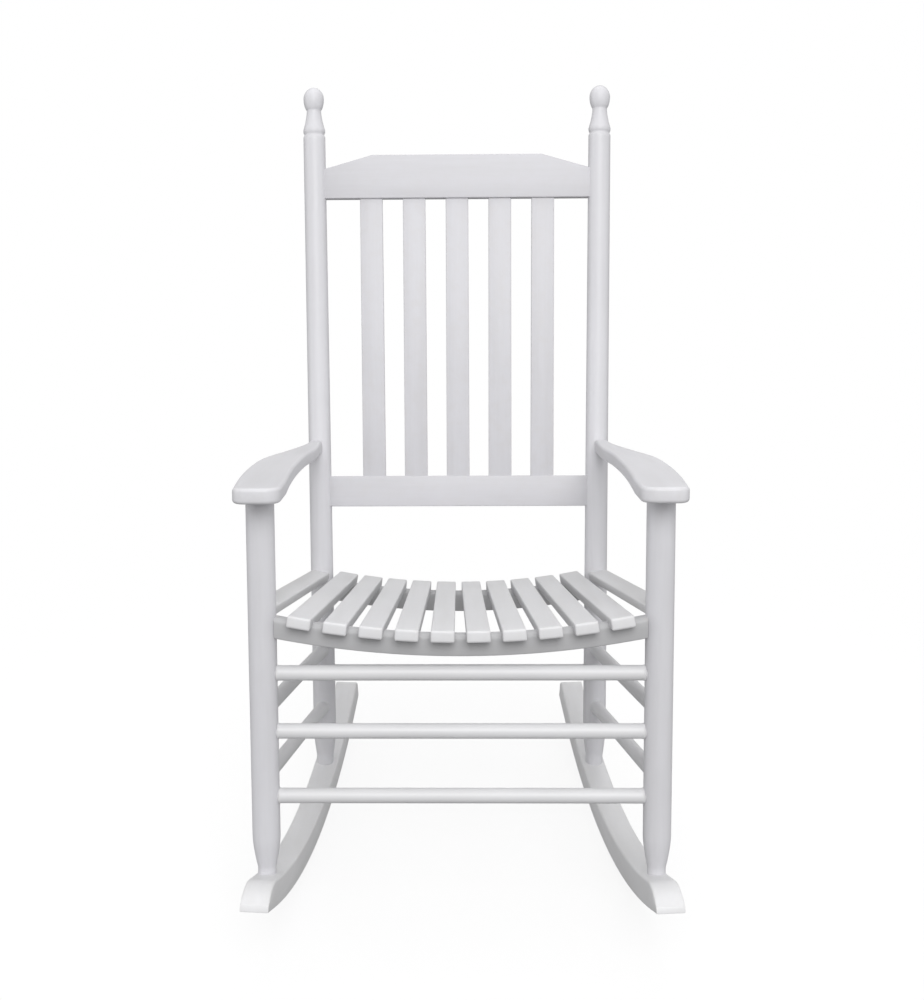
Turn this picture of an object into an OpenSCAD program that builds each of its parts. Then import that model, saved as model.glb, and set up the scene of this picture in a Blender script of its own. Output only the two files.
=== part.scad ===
// Slatted porch rocking chair, painted white, in millimetres.
// The chair faces -Y and stands on Z = 0, with X = 0 on its middle plane.
// It is drawn upright, with plumb front legs at y = 0, and place() then leans it
// back on its rockers to the angle at which it stands by itself.

/* [Rest] */
// Angle that the empty chair leans back when it stands still
rest_tilt = 6; // [0:0.5:9]

/* [Legs] */
// Middle of a front leg from the middle plane
leg_x = 264.5; // [255:0.5:275]
// Diameter of a front leg
leg_d = 38; // [34:1:40]
// Diameter of a back post
post_d = 37; // [34:1:39]
// Middle of a back post from the middle plane, at floor height
post_x = 221; // [215:0.5:226]
// Back post from the front legs, at floor height
post_y = 443.5; // [430:0.5:455]
// Lean of the back behind a plumb line
back_lean = 10.7; // [8:0.1:12]
// Outward splay of each back post
post_splay = 1.06; // [0.6:0.02:1.4]
// Length of a back post from floor height to the top of its finial
post_length = 1184; // [1160:1:1200]

/* [Rockers] */
// Radius of the rolling edge
rocker_radius = 1088; // [1000:1:1200]
// Lowest point of the rolling edge behind the front legs
rocker_low_y = 262; // [250:1:275]
// Height of the rocker board
rocker_h = 36; // [34:1:40]
// Thickness of the rocker board
rocker_w = 38; // [36:1:40]
// Angle by which each rocker turns in towards the rear
rocker_toe_in = 5.1; // [4.5:0.1:5.6]
// Angle of the arc in front of the lowest point
rocker_front_angle = 19.9; // [18:0.1:21]
// Angle of the arc behind the lowest point
rocker_rear_angle = 22.9; // [21:0.1:25]

/* [Seat] */
// Number of seat slats
seat_slats = 10; // [10:1:10]
// Width of a seat slat
seat_slat_w = 31.5; // [28:0.5:33]
// Thickness of a seat slat
seat_slat_t = 16; // [14:0.5:18]
// Top of the middle of the seat at the front legs
seat_z = 413.6; // [408:0.1:418]
// Backward slope of the seat in the upright chair
seat_tilt = 8.25; // [7:0.05:9.5]
// Distance between slats at their front ends
seat_pitch_front = 47.1; // [46:0.1:48]
// Distance between slats at their rear ends
seat_pitch_rear = 40.9; // [40:0.1:42]
// Radius of the dip across the seat at the front
dip_radius_front = 1266; // [1150:1:1400]
// Radius of the dip across the seat at the rear
dip_radius_rear = 1119; // [1050:1:1250]
// Thickness of the curved front and rear rails
seat_rail_t = 22; // [20:1:26]
// Height of the curved front rail
front_rail_h = 28.5; // [26:0.5:32]
// Height of the curved rear rail
rear_rail_h = 31; // [28:0.5:34]

/* [Back] */
// Thickness of the crest rail and the lower back rail
back_rail_t = 18; // [16:1:22]
// Bottom of the crest rail, along the posts
crest_low = 992.5; // [980:0.5:1005]
// Height of the crest rail in its middle
crest_h = 74; // [66:1:80]
// Height of the crest rail at the posts
crest_end_h = 52.5; // [46:0.5:58]
// Length of the level part of the crest rail's top
crest_flat = 286; // [240:2:320]
// Bottom of the lower back rail, along the posts
lower_rail_low = 474.5; // [465:0.5:485]
// Height of the lower back rail
lower_rail_h = 50.5; // [44:0.5:56]
// Width of a back slat
back_slat_w = 38; // [34:0.5:42]
// Thickness of a back slat
back_slat_t = 10; // [8:0.5:12]
// Distance between back slats at the lower rail
back_pitch_low = 69.8; // [68:0.1:72]
// Distance between back slats at the crest rail
back_pitch_top = 72.4; // [70:0.1:74]

/* [Arms] */
// Top of an arm at the front leg
arm_z = 611.3; // [600:0.1:620]
// Downward slope of an arm towards the rear
arm_tilt = 3.65; // [2:0.05:5]
// Thickness of an arm
arm_t = 21; // [19:0.5:24]
// Arm in front of the middle of the front leg
arm_overhang = 64; // [56:1:72]

/* [Stretchers] */
// Diameter of a stretcher
stretcher_d = 20.4; // [18:0.2:22]
// Heights of the three front stretchers
front_stretcher_z = [351.5, 270.7, 180];
// Heights of the two side stretchers at the front leg
side_stretcher_front_z = [298, 205.5];
// Heights of the two side stretchers at the back post
side_stretcher_rear_z = [233.5, 143];
// Height of the rear stretcher
rear_stretcher_z = 199; // [192:1:204]

/* [Hidden] */
$fn = 96;
paint = "white";
shaded_paint = "gainsboro";
steel = "darkgray";

// Moves the plan middle of the leaning chair onto the origin.
plan_shift = 26;

leg_r = leg_d / 2;
post_r = post_d / 2;
stretcher_tenon_d = 14;
// Tenons stop this far short of the middle of a leg or post.
tenon_stop = 3;

// Round feet that enter a rocker, of a leg and of a post.
leg_foot_r = 12.5;
post_foot_r = 13.75;
foot_depth = 21;
foot_taper = 44;
foot_straight = 11;
rocker_top_r = rocker_radius - rocker_h;
rocker_x = leg_x - 4 - (rocker_low_y + rocker_top_r * sin(rest_tilt)) * tan(rocker_toe_in);
toe_round_r = 56;
toe_round_reach = 48;
tail_round_r = 6;

// The rocker's top under the front leg, and under the back post along the post.
leg_foot_z = rocker_radius - sqrt(pow(rocker_top_r, 2) - pow(rocker_low_y, 2));
post_foot_y = post_y - rocker_low_y + 55 * sin(back_lean);
post_foot_z = (rocker_radius - sqrt(pow(rocker_top_r, 2) - pow(post_foot_y, 2))) / cos(back_lean);

// Seat slats, measured in the sloping seat frame.
slat_front_y = -32;
slat_rear_y = 541;
slat_edge_r = 2;
slat_screw_y = [2, 512];
rear_rail_y = 507;
front_rail_top = 405.7;
rear_rail_top = 326.5;
side_rail_w = 30;
side_rail_t = 14;
side_rail_front_z = 444;
side_rail_rear_z = 361.5;
side_rail_roll = 9.5;

// Tenons of the flat rails: thickness and height.
rail_tenon = [11, 17];
side_tenon = [15, 8];
back_tenon = [9, 34];
slat_tenon = 12;

// Arm outline: front width, and the narrow end at the post.
arm_inner_front = 231;
arm_outer_front = 292.5;
arm_bulge = 9.5;
arm_inner_waist = 6;
arm_taper_y = 248;
arm_narrow_y = 536;
arm_end_y = 548;
arm_end_inner = 226.5;
arm_end_outer = 248;
arm_corner_r = 18;
arm_inner_corner_r = 22;
arm_tenon_d = 14;
arm_tenon_x = 235;
arm_tenon_y = 519;
leg_tenon_d = 24;
leg_tenon_h = 14;

// Height of the crown of a circle of radius r over the chord point at x.
function dip(r, x) = r - sqrt(r * r - x * x);

// Eases from 0 to 1 as t goes from 0 to 1.
function ease(t) = (1 - cos(180 * max(0, min(1, t)))) / 2;

// Radius of a turned foot at a share t of its taper, from the thin end.
function foot_curve(thin, r, t) = thin + (r - thin) * (1 - pow(1 - t, 1.5));

function slat_offset(n) = n - (seat_slats + 1) / 2;

// Frames: the standing chair, the back, the seat and the arms.
module place() {
    translate([0, plan_shift, rocker_radius])
        rotate([-rest_tilt, 0, 0])
        translate([0, -rocker_low_y, -rocker_radius])
        children();
}

module back_frame() {
    translate([0, post_y, 0]) rotate([-back_lean, 0, 0]) children();
}

module post_frame() {
    back_frame() translate([post_x, 0, 0]) rotate([0, post_splay, 0]) children();
}

module seat_frame() {
    translate([0, 0, seat_z]) rotate([-seat_tilt, 0, 0]) children();
}

module arm_frame() {
    translate([0, 0, arm_z]) rotate([-arm_tilt, 0, 0]) children();
}

module both_sides() {
    children();
    mirror([1, 0, 0]) children();
}

// Round bar between two points, longer by extra at each end.
module bar(from, to, d, extra = 0) {
    run = to - from;
    reach = norm(run);
    translate(from)
        rotate([0, acos(run[2] / reach), atan2(run[1], run[0])])
        translate([0, 0, -extra])
        cylinder(h = reach + 2 * extra, d = d);
}

// A point on the axis of the right back post, at a height in the upright chair.
function post_point(z) = let(along = z / cos(back_lean)) [
    post_x + along * sin(post_splay),
    post_y + along * sin(back_lean),
    z
];

// Plain round bodies that the other pieces butt against.
module leg_body() {
    translate([leg_x, 0, 0]) cylinder(h = arm_z, r = leg_r);
}

module post_body() {
    post_frame() cylinder(h = post_length - 90, r = post_r);
}

// Rockers: bent boards with a long round on the toe and a small one on the tail.
module rocker_outline() {
    far = 1.2 * rocker_radius;
    difference() {
        intersection() {
            circle(r = rocker_radius, $fn = 360);
            polygon([
                [0, 0],
                [-far * sin(rocker_front_angle), -far * cos(rocker_front_angle)],
                [far * sin(rocker_rear_angle), -far * cos(rocker_rear_angle)]
            ]);
        }
        circle(r = rocker_top_r, $fn = 360);
        mirror([1, 0]) rocker_end_round(rocker_front_angle, toe_round_r, toe_round_reach);
        rocker_end_round(rocker_rear_angle, tail_round_r, tail_round_r);
    }
}

// What lies outside an arc that leaves the top edge tangent, short of an end by reach.
module rocker_end_round(end_angle, r, reach) {
    rotate(end_angle - asin(reach / rocker_top_r))
        translate([0, -rocker_top_r - r])
        difference() {
            square([3 * r, 2 * r]);
            circle(r = r);
        }
}

module rocker_board() {
    translate([rocker_x, plan_shift, rocker_radius])
        rotate([0, 0, rocker_toe_in])
        rotate([-rest_tilt, 0, 0])
        rotate([90, 0, 90])
        translate([0, 0, -rocker_w / 2])
        linear_extrude(rocker_w)
        rocker_outline();
}

module right_rocker() {
    color(paint) difference() {
        rocker_board();
        place() leg_foot();
        place() post_foot();
        place() rocker_screw_pair(24);
    }
}

// Front legs: turned, tapered at the foot, with a round tenon into the arm.
module leg_foot() {
    translate([leg_x, 0, leg_foot_z - foot_depth])
        cylinder(h = foot_depth + foot_straight + 1, r = leg_foot_r);
}

// Half profile of a foot's taper, from the thin end up.
foot_steps = 8;
function foot_points(thin, r) = [
    for (i = [0 : foot_steps]) [foot_curve(thin, r, i / foot_steps), foot_taper * i / foot_steps]
];

module leg_tenon() {
    translate([leg_x, 0, arm_z - arm_t - 20])
        cylinder(h = leg_tenon_h + 20, d = leg_tenon_d);
}

module right_front_leg() {
    taper_z = leg_foot_z + foot_straight;
    height = arm_z - taper_z;
    color(paint) difference() {
        union() {
            leg_foot();
            difference() {
                translate([leg_x, 0, taper_z]) rotate_extrude()
                    polygon(concat([[0, 0]], foot_points(leg_foot_r, leg_r), [[leg_r, height], [0, height]]));
                arm_frame() translate([0, -100, -arm_t]) cube([400, 200, 100]);
            }
            leg_tenon();
        }
        front_stretcher_tenons();
        side_stretcher_tenons();
        front_rail_tenons();
        side_rail_tenons();
        rocker_screw_pair();
    }
}

// Back posts: one turned piece from the rocker to the finial.
module post_foot() {
    post_frame() translate([0, 0, post_foot_z - foot_depth])
        cylinder(h = foot_depth + foot_straight + 1, r = post_foot_r);
}

// Depth below the tip of the finial, and radius, of each of its parts.
finial_ball_r = 17.3;
finial_ball_top = 20;
finial_ball_low = 28;
finial_neck = 40;
finial_flare = 73;
finial_ring = 77;
finial_groove = 80.5;
finial_base = 84;

neck_r = finial_ball_r * sqrt(1 - pow((finial_neck - finial_ball_top) / finial_ball_low, 2));
finial_steps = 10;

// Half profile of the finial from its ring up, for a tip at the height top.
function finial_points(top) = concat(
    [[post_r, top - finial_base], [post_r - 1.3, top - finial_groove], [post_r, top - finial_ring]],
    [for (i = [0 : 7]) let(t = 1 - i / 8)
        [neck_r + (post_r - neck_r) * pow(t, 1.6), top - finial_neck - (finial_flare - finial_neck) * t]],
    [for (i = [0 : finial_steps - 1]) let(d = (finial_neck - finial_ball_top) * (1 - i / finial_steps))
        [finial_ball_r * sqrt(1 - pow(d / finial_ball_low, 2)), top - finial_ball_top - d]],
    [for (i = [0 : finial_steps]) let(a = 90 - 90 * i / finial_steps)
        [finial_ball_r * sin(a), top - finial_ball_top * (1 - cos(a))]]
);

module right_back_post() {
    taper_z = post_foot_z + foot_straight;
    color(paint) difference() {
        union() {
            post_foot();
            post_frame() translate([0, 0, taper_z]) rotate_extrude()
                polygon(concat([[0, 0]], foot_points(post_foot_r, post_r), finial_points(post_length - taper_z)));
        }
        rear_stretcher_tenons();
        side_stretcher_tenons();
        rear_rail_tenons();
        side_rail_tenons();
        lower_rail_tenons();
        crest_tenons();
        arm_tenon();
        arm_screw(20);
        rocker_screw_pair();
        back_rail_pin_set();
    }
}

// Stretchers: round bars whose thinner ends are glued into bores.
module front_stretcher_tenons() {
    for (z = front_stretcher_z)
        bar([tenon_stop - leg_x, 0, z], [leg_x - tenon_stop, 0, z], stretcher_tenon_d);
}

module front_stretcher(n) {
    z = front_stretcher_z[n];
    color(paint) {
        difference() {
            bar([-leg_x, 0, z], [leg_x, 0, z], stretcher_d);
            both_sides() leg_body();
        }
        both_sides() intersection() {
            bar([0, 0, z], [leg_x - tenon_stop, 0, z], stretcher_tenon_d);
            leg_body();
        }
    }
}

module side_stretcher_axis(n, d, trim = 0) {
    from = [leg_x, 0, side_stretcher_front_z[n]];
    bar(from, post_point(side_stretcher_rear_z[n]), d, -trim);
}

module side_stretcher_tenons() {
    for (n = [0, 1]) side_stretcher_axis(n, stretcher_tenon_d, tenon_stop);
}

module right_side_stretcher(n) {
    color(paint) {
        difference() {
            side_stretcher_axis(n, stretcher_d);
            leg_body();
            post_body();
        }
        intersection() {
            side_stretcher_axis(n, stretcher_tenon_d, tenon_stop);
            union() {
                leg_body();
                post_body();
            }
        }
    }
}

module rear_stretcher_axis(d, trim = 0) {
    right_end = post_point(rear_stretcher_z);
    bar([trim - right_end[0], right_end[1], right_end[2]], right_end - [trim, 0, 0], d);
}

module rear_stretcher_tenons() {
    rear_stretcher_axis(stretcher_tenon_d, tenon_stop);
}

module rear_stretcher() {
    color(paint) {
        difference() {
            rear_stretcher_axis(stretcher_d);
            both_sides() post_body();
        }
        intersection() {
            rear_stretcher_tenons();
            both_sides() post_body();
        }
    }
}

// Seat rails: front and rear boards sawn to the dip of the seat, notched for the slats.
module curved_rail_bar(dip_radius, top_z, half, height) {
    rotate([90, 0, 0]) translate([0, 0, -seat_rail_t / 2]) linear_extrude(seat_rail_t)
        intersection() {
            difference() {
                translate([0, top_z + dip_radius]) circle(r = dip_radius + height, $fn = 360);
                translate([0, top_z + dip_radius]) circle(r = dip_radius, $fn = 360);
            }
            translate([-half, top_z - 60]) square([2 * half, 120]);
        }
}

module rail_tenon_block(x, y, z) {
    translate([x - leg_d, y - rail_tenon[0] / 2, z - rail_tenon[1] / 2])
        cube([leg_d - tenon_stop, rail_tenon[0], rail_tenon[1]]);
}

module front_rail_tenons() {
    z = front_rail_top + dip(dip_radius_front, leg_x - leg_r) - front_rail_h / 2;
    both_sides() rail_tenon_block(leg_x, 0, z);
}

module rear_rail_tenons() {
    z = rear_rail_top + dip(dip_radius_rear, post_x - post_r) - rear_rail_h / 2;
    both_sides() rail_tenon_block(post_point(z)[0], post_point(z)[1], z);
}

module seat_front_rail() {
    color(shaded_paint) {
        difference() {
            curved_rail_bar(dip_radius_front, front_rail_top, leg_x, front_rail_h);
            both_sides() leg_body();
            all_seat_slats();
            seat_screw_row(0, 20);
        }
        intersection() {
            front_rail_tenons();
            both_sides() leg_body();
        }
    }
}

module seat_rear_rail() {
    color(shaded_paint) {
        difference() {
            translate([0, rear_rail_y, 0])
                curved_rail_bar(dip_radius_rear, rear_rail_top, post_x + 10, rear_rail_h);
            both_sides() post_body();
            all_seat_slats();
            seat_screw_row(1, 20);
        }
        intersection() {
            rear_rail_tenons();
            both_sides() post_body();
        }
    }
}

// Side seat rails run from the front leg to the back post, canted like the slats.
side_rail_front = [leg_x, 0, side_rail_front_z];
side_rail_rear = [post_point(side_rail_rear_z)[0], post_point(side_rail_rear_z)[1], side_rail_rear_z];

module side_rail_frame() {
    run = side_rail_rear - side_rail_front;
    translate(side_rail_front)
        rotate([0, 0, -atan2(run[0], run[1])])
        rotate([atan2(run[2], norm([run[0], run[1]])), 0, 0])
        rotate([0, -side_rail_roll, 0])
        children();
}

side_rail_length = norm(side_rail_rear - side_rail_front);

module side_rail_tenons() {
    side_rail_frame()
        translate([-side_tenon[0] / 2, tenon_stop, -side_rail_t / 2 - side_tenon[1] / 2])
        cube([side_tenon[0], side_rail_length - 2 * tenon_stop, side_tenon[1]]);
}

module right_seat_rail() {
    color(shaded_paint) {
        difference() {
            side_rail_frame() translate([-side_rail_w / 2, 0, -side_rail_t])
                cube([side_rail_w, side_rail_length, side_rail_t]);
            leg_body();
            post_body();
        }
        intersection() {
            side_rail_tenons();
            union() {
                leg_body();
                post_body();
            }
        }
    }
}

// Seat slats: straight boards, fanned out to the front and canted to the dip.
module slat_frame(n) {
    front_x = slat_offset(n) * seat_pitch_front;
    rear_x = slat_offset(n) * seat_pitch_rear;
    front_z = dip(dip_radius_front, front_x);
    rear_z = dip(dip_radius_rear, rear_x);
    run = slat_rear_y - slat_front_y;
    seat_frame() translate([front_x, slat_front_y, front_z])
        rotate([0, 0, -atan2(rear_x - front_x, run)])
        rotate([atan2(rear_z - front_z, run), 0, 0])
        rotate([0, -asin(front_x / dip_radius_front), 0])
        children();
}

module slat_body(n) {
    w = seat_slat_w / 2;
    e = slat_edge_r;
    slat_frame(n) rotate([-90, 0, 0]) linear_extrude(slat_rear_y - slat_front_y)
        union() {
            translate([-w, e]) square([2 * w, seat_slat_t - e]);
            translate([e - w, 0]) square([2 * (w - e), e]);
            for (s = [-1, 1]) translate([s * (w - e), e]) circle(r = e);
        }
}

module seat_slat(n) {
    color(paint) difference() {
        slat_body(n);
        for (row = [0, 1]) seat_screw(n, row);
    }
}

module all_seat_slats() {
    for (n = [1 : seat_slats]) slat_body(n);
}

// Back: crest rail, lower rail and five slats let into both.
module back_board(points) {
    back_frame() rotate([90, 0, 0]) translate([0, 0, -back_rail_t / 2])
        linear_extrude(back_rail_t) polygon(points);
}

module back_tenon_block(low, high) {
    mid = (low + high) / 2;
    x = post_x + mid * sin(post_splay);
    back_frame() both_sides()
        translate([x - post_d, -back_tenon[0] / 2, mid - back_tenon[1] / 2])
        cube([post_d - tenon_stop, back_tenon[0], back_tenon[1]]);
}

module crest_tenons() {
    back_tenon_block(crest_low, crest_low + crest_end_h - 4);
}

module lower_rail_tenons() {
    back_tenon_block(lower_rail_low, lower_rail_low + lower_rail_h);
}

module crest_rail() {
    end = post_x + crest_low * sin(post_splay);
    chamfer = (crest_h - crest_end_h) / (end - post_r - crest_flat / 2);
    end_top = crest_low + crest_end_h - chamfer * post_r;
    color(paint) {
        difference() {
            back_board([
                [-end, crest_low], [end, crest_low], [end, end_top],
                [crest_flat / 2, crest_low + crest_h], [-crest_flat / 2, crest_low + crest_h],
                [-end, end_top]
            ]);
            both_sides() post_body();
            all_back_slats();
        }
        difference() {
            intersection() {
                crest_tenons();
                both_sides() post_body();
            }
            back_rail_pin_set();
        }
    }
}

module lower_back_rail() {
    end = post_x + lower_rail_low * sin(post_splay);
    top = lower_rail_low + lower_rail_h;
    color(paint) {
        difference() {
            back_board([[-end, lower_rail_low], [end, lower_rail_low], [end, top], [-end, top]]);
            both_sides() post_body();
            all_back_slats();
        }
        difference() {
            intersection() {
                lower_rail_tenons();
                both_sides() post_body();
            }
            back_rail_pin_set();
        }
    }
}

module back_slat_body(n) {
    low = lower_rail_low + lower_rail_h - slat_tenon;
    high = crest_low + slat_tenon;
    low_x = (n - 3) * back_pitch_low;
    high_x = (n - 3) * back_pitch_top;
    lean = atan2(high_x - low_x, high - low);
    back_frame() translate([low_x, 0, low]) rotate([0, lean, 0])
        translate([-back_slat_w / 2, -back_slat_t / 2, 0])
        cube([back_slat_w, back_slat_t, high - low]);
}

module back_slat(n) {
    color(paint) back_slat_body(n);
}

module all_back_slats() {
    for (n = [1 : 5]) back_slat_body(n);
}

// Arms: flat paddles, broad in front and drawn in to a narrow end at the post.
function arm_outer(y) = let(t = ease((y - arm_taper_y) / (arm_narrow_y - arm_taper_y)))
    arm_outer_front + (arm_end_outer - arm_outer_front) * t
        + arm_bulge * sin(180 * max(0, min(1, (y + arm_overhang) / 420)));

function arm_inner(y) = arm_inner_front
    + arm_inner_waist * sin(180 * max(0, min(1, (y - 20) / 400)))
    + (arm_end_inner - arm_inner_front) * ease((y - 330) / 120);

module arm_outline() {
    steps = 24;
    start = arm_inner_corner_r - arm_overhang;
    y_steps = [for (i = [0 : steps]) start + (arm_end_y - start) * i / steps];
    inner_x = arm_inner(start) + arm_inner_corner_r;
    outer_x = arm_outer(start) - arm_corner_r;
    union() {
        polygon(concat(
            [for (y = y_steps) [arm_outer(y), y]],
            [for (i = [0 : steps]) let(y = y_steps[steps - i]) [arm_inner(y), y]]
        ));
        translate([inner_x, start]) circle(r = arm_inner_corner_r);
        translate([outer_x, arm_corner_r - arm_overhang]) circle(r = arm_corner_r);
        translate([inner_x, -arm_overhang]) square([outer_x - inner_x, arm_inner_corner_r + 1]);
        translate([outer_x, arm_corner_r - arm_overhang])
            square([arm_corner_r, arm_inner_corner_r - arm_corner_r + 1]);
    }
}

module arm_tenon() {
    arm_frame() translate([arm_tenon_x, arm_tenon_y, -arm_t / 2]) rotate([-90, 0, 0])
        cylinder(h = 24, d = arm_tenon_d);
}

module right_arm() {
    color(paint) {
        difference() {
            arm_frame() translate([0, 0, -arm_t]) linear_extrude(arm_t) arm_outline();
            post_body();
            leg_tenon();
        }
        difference() {
            intersection() {
                arm_tenon();
                post_body();
            }
            arm_screw();
        }
    }
}

// Screws and pins, all hidden in the underside or behind the back.
screw_d = 4;
screw_head_d = 8;
pin_y = 15.5;

// A screw along +Z; sink is the length of the open counterbore under its head.
module screw(length, d, head_d, head_h, sink = 0) {
    cylinder(h = length, d = d);
    cylinder(h = head_h, d = head_d);
    translate([0, 0, -sink]) cylinder(h = sink + head_h / 2, d = head_d);
}

module seat_screw(n, row, sink = 0) {
    slat_frame(n) translate([0, slat_screw_y[row] - slat_front_y, -seat_slat_t - 16])
        screw(26, screw_d, screw_head_d, 3, sink);
}

module seat_screw_row(row, sink = 0) {
    for (n = [1 : seat_slats]) seat_screw(n, row, sink);
}

module rocker_screw_pair(sink = 0) {
    translate([leg_x, 0, leg_foot_z - rocker_h + 8]) screw(60, 6, 12, 4, sink);
    post_frame() translate([0, 0, post_foot_z - rocker_h + 8]) screw(60, 6, 12, 4, sink);
}

module arm_screw(sink = 0) {
    arm_frame() translate([arm_tenon_x, arm_tenon_y + 45, -arm_t / 2]) rotate([90, 0, 0])
        screw(60, 5, 10, 3, sink);
}

module back_rail_pin_set() {
    for (z = [crest_low + 24, lower_rail_low + lower_rail_h / 2])
        post_frame() translate([-9, pin_y, z]) rotate([90, 0, 0]) cylinder(h = 24, d = 3);
}

// The mirrored left side and the standing pose.
mirror([1, 0, 0]) right_rocker();  // left_rocker
right_rocker();
place() mirror([1, 0, 0]) right_front_leg();  // left_front_leg
place() right_front_leg();
place() mirror([1, 0, 0]) right_back_post();  // left_back_post
place() right_back_post();
place() crest_rail();
place() lower_back_rail();
place() back_slat(1);  // back_slat_1
place() back_slat(2);  // back_slat_2
place() back_slat(3);  // back_slat_3
place() back_slat(4);  // back_slat_4
place() back_slat(5);  // back_slat_5
place() mirror([1, 0, 0]) right_arm();  // left_arm
place() right_arm();
place() front_stretcher(0);  // front_stretcher_top
place() front_stretcher(1);  // front_stretcher_middle
place() front_stretcher(2);  // front_stretcher_bottom
place() mirror([1, 0, 0]) right_side_stretcher(0);  // left_side_stretcher_upper
place() mirror([1, 0, 0]) right_side_stretcher(1);  // left_side_stretcher_lower
place() right_side_stretcher(0);  // right_side_stretcher_upper
place() right_side_stretcher(1);  // right_side_stretcher_lower
place() rear_stretcher();
place() seat_front_rail();
place() seat_rear_rail();
place() mirror([1, 0, 0]) right_seat_rail();  // left_seat_rail
place() right_seat_rail();
place() seat_slat(1);  // seat_slat_01
place() seat_slat(2);  // seat_slat_02
place() seat_slat(3);  // seat_slat_03
place() seat_slat(4);  // seat_slat_04
place() seat_slat(5);  // seat_slat_05
place() seat_slat(6);  // seat_slat_06
place() seat_slat(7);  // seat_slat_07
place() seat_slat(8);  // seat_slat_08
place() seat_slat(9);  // seat_slat_09
place() seat_slat(10);  // seat_slat_10
color(steel) place() seat_screw_row(0);  // seat_screws_front
color(steel) place() seat_screw_row(1);  // seat_screws_rear
color(steel) place() both_sides() rocker_screw_pair();  // rocker_screws
color(steel) place() both_sides() arm_screw();  // arm_screws
color(steel) place() both_sides() back_rail_pin_set();  // back_rail_pins
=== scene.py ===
import math

import bmesh
import bpy
from mathutils import Matrix, Vector


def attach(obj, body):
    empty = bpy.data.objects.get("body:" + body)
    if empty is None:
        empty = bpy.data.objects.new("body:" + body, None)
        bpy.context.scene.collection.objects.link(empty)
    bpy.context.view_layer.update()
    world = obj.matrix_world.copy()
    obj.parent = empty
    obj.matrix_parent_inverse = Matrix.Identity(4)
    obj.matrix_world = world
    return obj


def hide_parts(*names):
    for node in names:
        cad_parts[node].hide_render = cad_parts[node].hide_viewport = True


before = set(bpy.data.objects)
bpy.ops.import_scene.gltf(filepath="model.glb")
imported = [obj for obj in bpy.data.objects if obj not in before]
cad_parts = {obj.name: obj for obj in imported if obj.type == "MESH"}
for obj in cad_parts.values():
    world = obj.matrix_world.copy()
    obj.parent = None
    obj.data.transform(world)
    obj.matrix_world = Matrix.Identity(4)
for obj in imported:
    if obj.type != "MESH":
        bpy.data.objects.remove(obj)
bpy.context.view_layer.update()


# ---------------------------------------------------------------- camera and light
# A camera 1.24 m above the floor and 2.2 m in front of the chair, looking 13 degrees down.
# The room is a plain white studio: a sky that dims towards the ground, one large soft light
# high in front, weaker ones overhead, to each side and behind, and a pale floor.

# The chair is drawn upright, in millimetres, with its front legs plumb at y = 0.
# This matrix leans it back on its rockers and sets it on the floor, in metres.
arc_radius, arc_low_y = 1088.0, 262.0
rest_lean, plan_shift = math.radians(6), 26.0
standing = (
    Matrix.Scale(0.001, 4)
    @ Matrix.Translation((0, plan_shift, arc_radius))
    @ Matrix.Rotation(-rest_lean, 4, "X")
    @ Matrix.Translation((0, -arc_low_y, -arc_radius))
)

# The turns, in radians, and the place are in the upright chair's frame.
yaw, pitch, roll = -0.02085, 0.1285, 0.0071
camera_spot = (-10.35, -1991.61, 1000.16)
level = math.cos(pitch)
ahead = Vector((math.sin(yaw) * level, math.cos(yaw) * level, -math.sin(pitch)))
across = Vector((math.cos(yaw), -math.sin(yaw), 0))
down = ahead.cross(across)
camera_right = math.cos(roll) * across + math.sin(roll) * down
camera_up = math.sin(roll) * across - math.cos(roll) * down
camera_place = Matrix((camera_right, camera_up, -ahead)).transposed().to_4x4()
camera_place.translation = camera_spot
camera_place = standing @ camera_place
camera_turn = camera_place.to_quaternion()
camera_data = bpy.data.cameras.new("camera")
camera_data.sensor_fit = "HORIZONTAL"
camera_data.sensor_width = 36
camera_data.lens = 59.957
camera_data.shift_x = 0.0457
camera_data.shift_y = -0.1269
camera = bpy.data.objects.new("camera", camera_data)
camera.matrix_world = Matrix.LocRotScale(camera_place.translation, camera_turn, None)
bpy.context.scene.collection.objects.link(camera)
bpy.context.scene.camera = camera

# What the sky lights with dims towards the ground. The camera sees it as plain white.
bpy.context.scene.view_settings.view_transform = "Standard"
sky_low, sky_high = 0.22, 0.60
sky = bpy.data.worlds.new("studio_sky")
sky.use_nodes = True
sky_light = sky.node_tree.nodes["Background"]
sky_light.inputs["Color"].default_value = (1.0, 1.0, 1.0, 1)
sky_place = sky.node_tree.nodes.new("ShaderNodeTexCoord")
sky_height = sky.node_tree.nodes.new("ShaderNodeSeparateXYZ")
sky_fall = sky.node_tree.nodes.new("ShaderNodeMapRange")
sky_fall.inputs["From Min"].default_value = -1.0
sky_fall.inputs["To Min"].default_value = sky_low
sky_fall.inputs["To Max"].default_value = sky_high
sky.node_tree.links.new(sky_place.outputs["Generated"], sky_height.inputs[0])
sky.node_tree.links.new(sky_height.outputs["Z"], sky_fall.inputs["Value"])
sky.node_tree.links.new(sky_fall.outputs["Result"], sky_light.inputs["Strength"])
sky_seen = sky.node_tree.nodes.new("ShaderNodeBackground")
sky_seen.inputs["Color"].default_value = (1.0, 1.0, 1.0, 1)
sky_seen.inputs["Strength"].default_value = 1.0
sky_rays = sky.node_tree.nodes.new("ShaderNodeLightPath")
sky_mix = sky.node_tree.nodes.new("ShaderNodeMixShader")
sky.node_tree.links.new(sky_rays.outputs["Is Camera Ray"], sky_mix.inputs[0])
sky.node_tree.links.new(sky_light.outputs[0], sky_mix.inputs[1])
sky.node_tree.links.new(sky_seen.outputs[0], sky_mix.inputs[2])
sky_out = sky.node_tree.nodes["World Output"]
sky.node_tree.links.new(sky_mix.outputs[0], sky_out.inputs["Surface"])
bpy.context.scene.world = sky


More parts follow.
